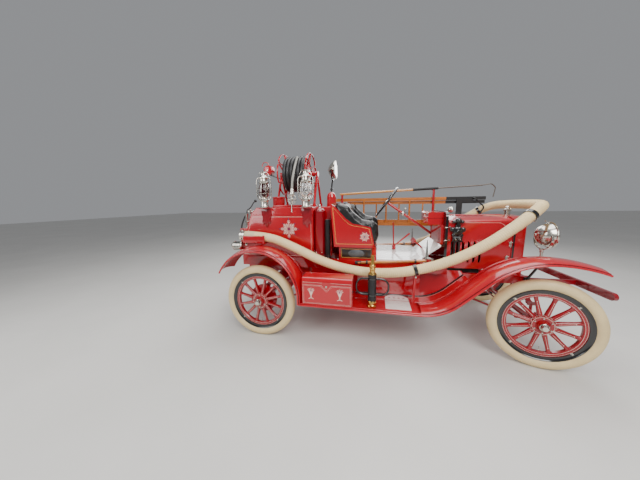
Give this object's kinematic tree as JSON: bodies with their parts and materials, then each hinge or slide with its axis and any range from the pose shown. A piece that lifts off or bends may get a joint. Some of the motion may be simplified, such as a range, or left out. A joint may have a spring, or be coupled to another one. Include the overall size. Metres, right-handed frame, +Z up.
{
  "type": "fire engine pumper",
  "caption": "Open-cab fire engine on a light car chassis, with a hose reel, stowed suction hose, ladder, lanterns, toolboxes and steered wooden-spoked wheels.",
  "frame": {"origin": "middle of the overall length and width, on the floor", "axes": "+X forward, +Y to the left, +Z up"},
  "size_m": [3.4026, 1.7, 1.9678],
  "materials": {
    "red_paint": "gloss",
    "dark_red_paint": "gloss",
    "red_wood": "gloss",
    "cream_tyre": "satin",
    "cream_hose": "satin",
    "black_paint": "gloss",
    "black_rubber": "satin",
    "black_leather": "gloss",
    "nickel": "polished",
    "brass": "polished",
    "varnished_wood": "varnished",
    "white_wood": "gloss"
  },
  "bodies": {
    "chassis": {"frame_rails": "red_paint", "front_bumper": "red_paint", "front_axle": "red_paint", "rear_axle": "red_paint", "leaf_springs": "red_paint", "front_fender_left": "red_paint", "front_fender_right": "red_paint", "rear_fender_left": "red_paint", "rear_fender_right": "red_paint", "running_boards": "red_paint", "splash_aprons": "red_paint", "toolboxes": "red_paint", "radiator": "red_paint", "hood": "red_paint", "coil_box": "red_paint", "body_sills": "red_paint", "seat_shell": "red_paint", "tank_body": "red_paint", "reel_stand": "red_paint", "steering_column": "red_paint", "hose_supports": "red_paint", "hand_levers": "red_paint", "ladder_stands": "red_paint", "air_chambers": "dark_red_paint", "suction_hose": "cream_hose", "engine": "black_paint", "exhaust": "black_paint", "firewall": "black_paint", "seat_riser": "black_paint", "side_valve": "black_paint", "reel_lead": "black_rubber", "seat_upholstery": "black_leather", "hose_couplings": "nickel", "headlamps": "nickel", "lanterns": "nickel", "rear_fittings": "nickel", "reel_nozzle": "nickel", "top_lamps": "nickel", "play_pipes": "brass", "ladder": "varnished_wood", "pike_pole": "varnished_wood", "fire_axes": "varnished_wood", "floor_boards": "white_wood"},
    "knuckle_left": {"knuckle_left": "red_paint"},
    "knuckle_right": {"knuckle_right": "red_paint"},
    "front_left_wheel": {"wheel_front_left": "red_wood", "tyre_front_left": "cream_tyre"},
    "front_right_wheel": {"wheel_front_right": "red_wood", "tyre_front_right": "cream_tyre"},
    "rear_left_wheel": {"wheel_rear_left": "red_wood", "tyre_rear_left": "cream_tyre"},
    "rear_right_wheel": {"wheel_rear_right": "red_wood", "tyre_rear_right": "cream_tyre"},
    "tie_rod": {"tie_rod": "red_paint"},
    "pitman_arm": {"pitman_arm": "red_paint"},
    "steering_wheel": {"steering_wheel": "black_rubber"},
    "reel": {"reel_spool": "red_paint", "reel_hose": "black_rubber"},
    "lid_left": {"toolbox_lid_left": "red_paint"},
    "lid_right": {"toolbox_lid_right": "red_paint"}
  },
  "joints": [
    {"name": "steer_left", "type": "hinge", "parent": "chassis", "child": "knuckle_left", "pos_m": [1.25535, 0.616, 0.381], "axis": [0, 0, 1], "range_deg": [-20, 50]},
    {"name": "front_wheel_left", "type": "hinge", "parent": "knuckle_left", "child": "front_left_wheel", "pos_m": [1.27994, 0.70776, 0.381], "axis": [0.2588, 0.9659, 0], "continuous": true},
    {"name": "rear_wheel_left", "type": "hinge", "parent": "chassis", "child": "rear_left_wheel", "pos_m": [-1.28465, 0.711, 0.381], "axis": [0, 1, 0], "continuous": true},
    {"name": "toolbox_lid_left", "type": "hinge", "parent": "chassis", "child": "lid_left", "pos_m": [-0.55215, 0.666, 0.7], "axis": [1, 0, 0], "range_deg": [0, 88]},
    {"name": "steer_right", "type": "hinge", "parent": "chassis", "child": "knuckle_right", "pos_m": [1.25535, -0.616, 0.381], "axis": [0, 0, 1], "range_deg": [-20, 50]},
    {"name": "front_wheel_right", "type": "hinge", "parent": "knuckle_right", "child": "front_right_wheel", "pos_m": [1.23076, -0.70776, 0.381], "axis": [0.2588, 0.9659, 0], "continuous": true},
    {"name": "rear_wheel_right", "type": "hinge", "parent": "chassis", "child": "rear_right_wheel", "pos_m": [-1.28465, -0.711, 0.381], "axis": [0, 1, 0], "continuous": true},
    {"name": "toolbox_lid_right", "type": "hinge", "parent": "chassis", "child": "lid_right", "pos_m": [-0.55215, -0.666, 0.7], "axis": [-1, 0, 0], "range_deg": [0, 88]},
    {"name": "tie_rod_swing", "type": "hinge", "parent": "knuckle_left", "child": "tie_rod", "pos_m": [1.11046, 0.65482, 0.386], "axis": [0, 0, 1], "range_deg": [-50, 20]},
    {"name": "pitman_swing", "type": "hinge", "parent": "chassis", "child": "pitman_arm", "pos_m": [1.03395, 0.235, 0.64604], "axis": [0.809, 0, -0.5878], "range_deg": [-60, 24]},
    {"name": "steering_wheel_turn", "type": "hinge", "parent": "chassis", "child": "steering_wheel", "pos_m": [0.01135, 0.235, 1.389], "axis": [0.809, 0, -0.5878], "range_deg": [-240, 96]},
    {"name": "reel_turn", "type": "hinge", "parent": "chassis", "child": "reel", "pos_m": [-1.06865, 0, 1.738], "axis": [1, 0, 0], "continuous": true}
  ],
  "couplings": [
    {"joint": "steer_right", "follows": "steer_left", "ratio": 1},
    {"joint": "tie_rod_swing", "follows": "steer_left", "ratio": -1},
    {"joint": "pitman_swing", "follows": "steer_left", "ratio": -1.18},
    {"joint": "steering_wheel_turn", "follows": "steer_left", "ratio": -4.72}
  ]
}
